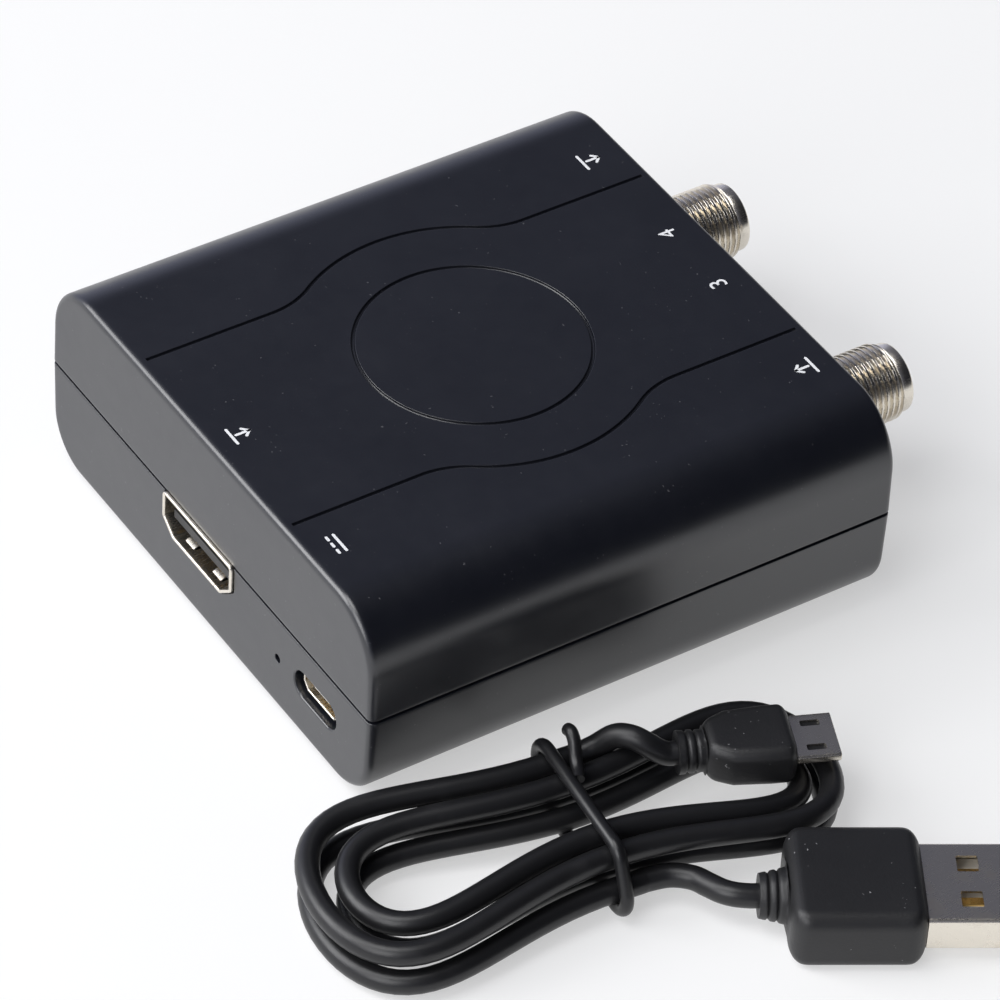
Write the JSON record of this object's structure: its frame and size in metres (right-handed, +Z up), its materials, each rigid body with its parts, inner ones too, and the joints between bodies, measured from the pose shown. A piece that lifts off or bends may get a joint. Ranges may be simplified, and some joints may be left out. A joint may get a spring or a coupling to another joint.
{
  "type": "rf modulator",
  "caption": "Small box that turns a video signal into an aerial signal, with video and power sockets in front, threaded aerial sockets behind, a channel switch and a power lead in a hank.",
  "frame": {"origin": "On the surface that the unit stands on, under the middle of the unit's outline without its lead", "axes": "+X to the right seen from the front, +Y from the front face with the video socket to the back face with the aerial sockets, +Z up"},
  "size_m": [0.1255, 0.0996, 0.0278],
  "materials": {
    "housing_plastic": "fine satin grain",
    "foot_rubber": "matt",
    "screw_steel": "zinc plated",
    "board_laminate": "green lacquer",
    "nickel": "bright nickel plate",
    "black_insulator": "moulded",
    "pale_insulator": "moulded",
    "gold_contact": "thin gold plate",
    "led_epoxy": "clear cast",
    "tinned_steel": "tinned sheet",
    "slider_nylon": "moulded",
    "chip_epoxy": "matt moulding",
    "capacitor_aluminium": "drawn can",
    "ferrite": "sintered",
    "ceramic_parts": "ceramic with tinned ends",
    "cable_jacket": "soft satin jacket",
    "grip_vinyl": "fine spark grain",
    "tie_plastic": "coated wire"
  },
  "bodies": {
    "modulator": {"top_cover": "housing_plastic", "bottom_cover": "housing_plastic", "rubber_feet": "foot_rubber", "case_screws": "screw_steel", "circuit_board": "board_laminate", "video_socket_shell": "nickel", "video_socket_insulator": "black_insulator", "video_socket_contacts": "gold_contact", "power_socket_shell": "nickel", "power_socket_insulator": "pale_insulator", "power_socket_contacts": "gold_contact", "status_led": "led_epoxy", "rf_out_barrel": "nickel", "rf_out_insulator": "pale_insulator", "rf_out_contact": "gold_contact", "rf_in_barrel": "nickel", "rf_in_insulator": "pale_insulator", "rf_in_contact": "gold_contact", "channel_switch_frame": "tinned_steel", "channel_switch_base": "black_insulator", "shield_can": "tinned_steel", "video_chip": "chip_epoxy", "modulator_chip": "chip_epoxy", "control_chip": "chip_epoxy", "crystals": "tinned_steel", "electrolytic_capacitors": "capacitor_aluminium", "power_inductor": "ferrite", "regulator": "chip_epoxy", "surface_parts": "ceramic_parts", "lead_hank": "cable_jacket", "hank_tie": "tie_plastic", "lead_usb_tail": "cable_jacket", "lead_usb_overmould": "grip_vinyl", "lead_usb_shell": "nickel", "lead_usb_insulator": "pale_insulator", "lead_usb_contacts": "gold_contact", "lead_power_tail": "cable_jacket", "lead_micro_overmould": "grip_vinyl", "lead_micro_shell": "nickel", "lead_micro_insulator": "black_insulator", "lead_micro_contacts": "gold_contact"},
    "channel_slider": {"channel_slider": "slider_nylon"}
  },
  "joints": [
    {"name": "channel_slide", "type": "slide", "parent": "modulator", "child": "channel_slider", "axis": [1, 0, 0], "range_m": [-0.002, 0]}
  ]
}
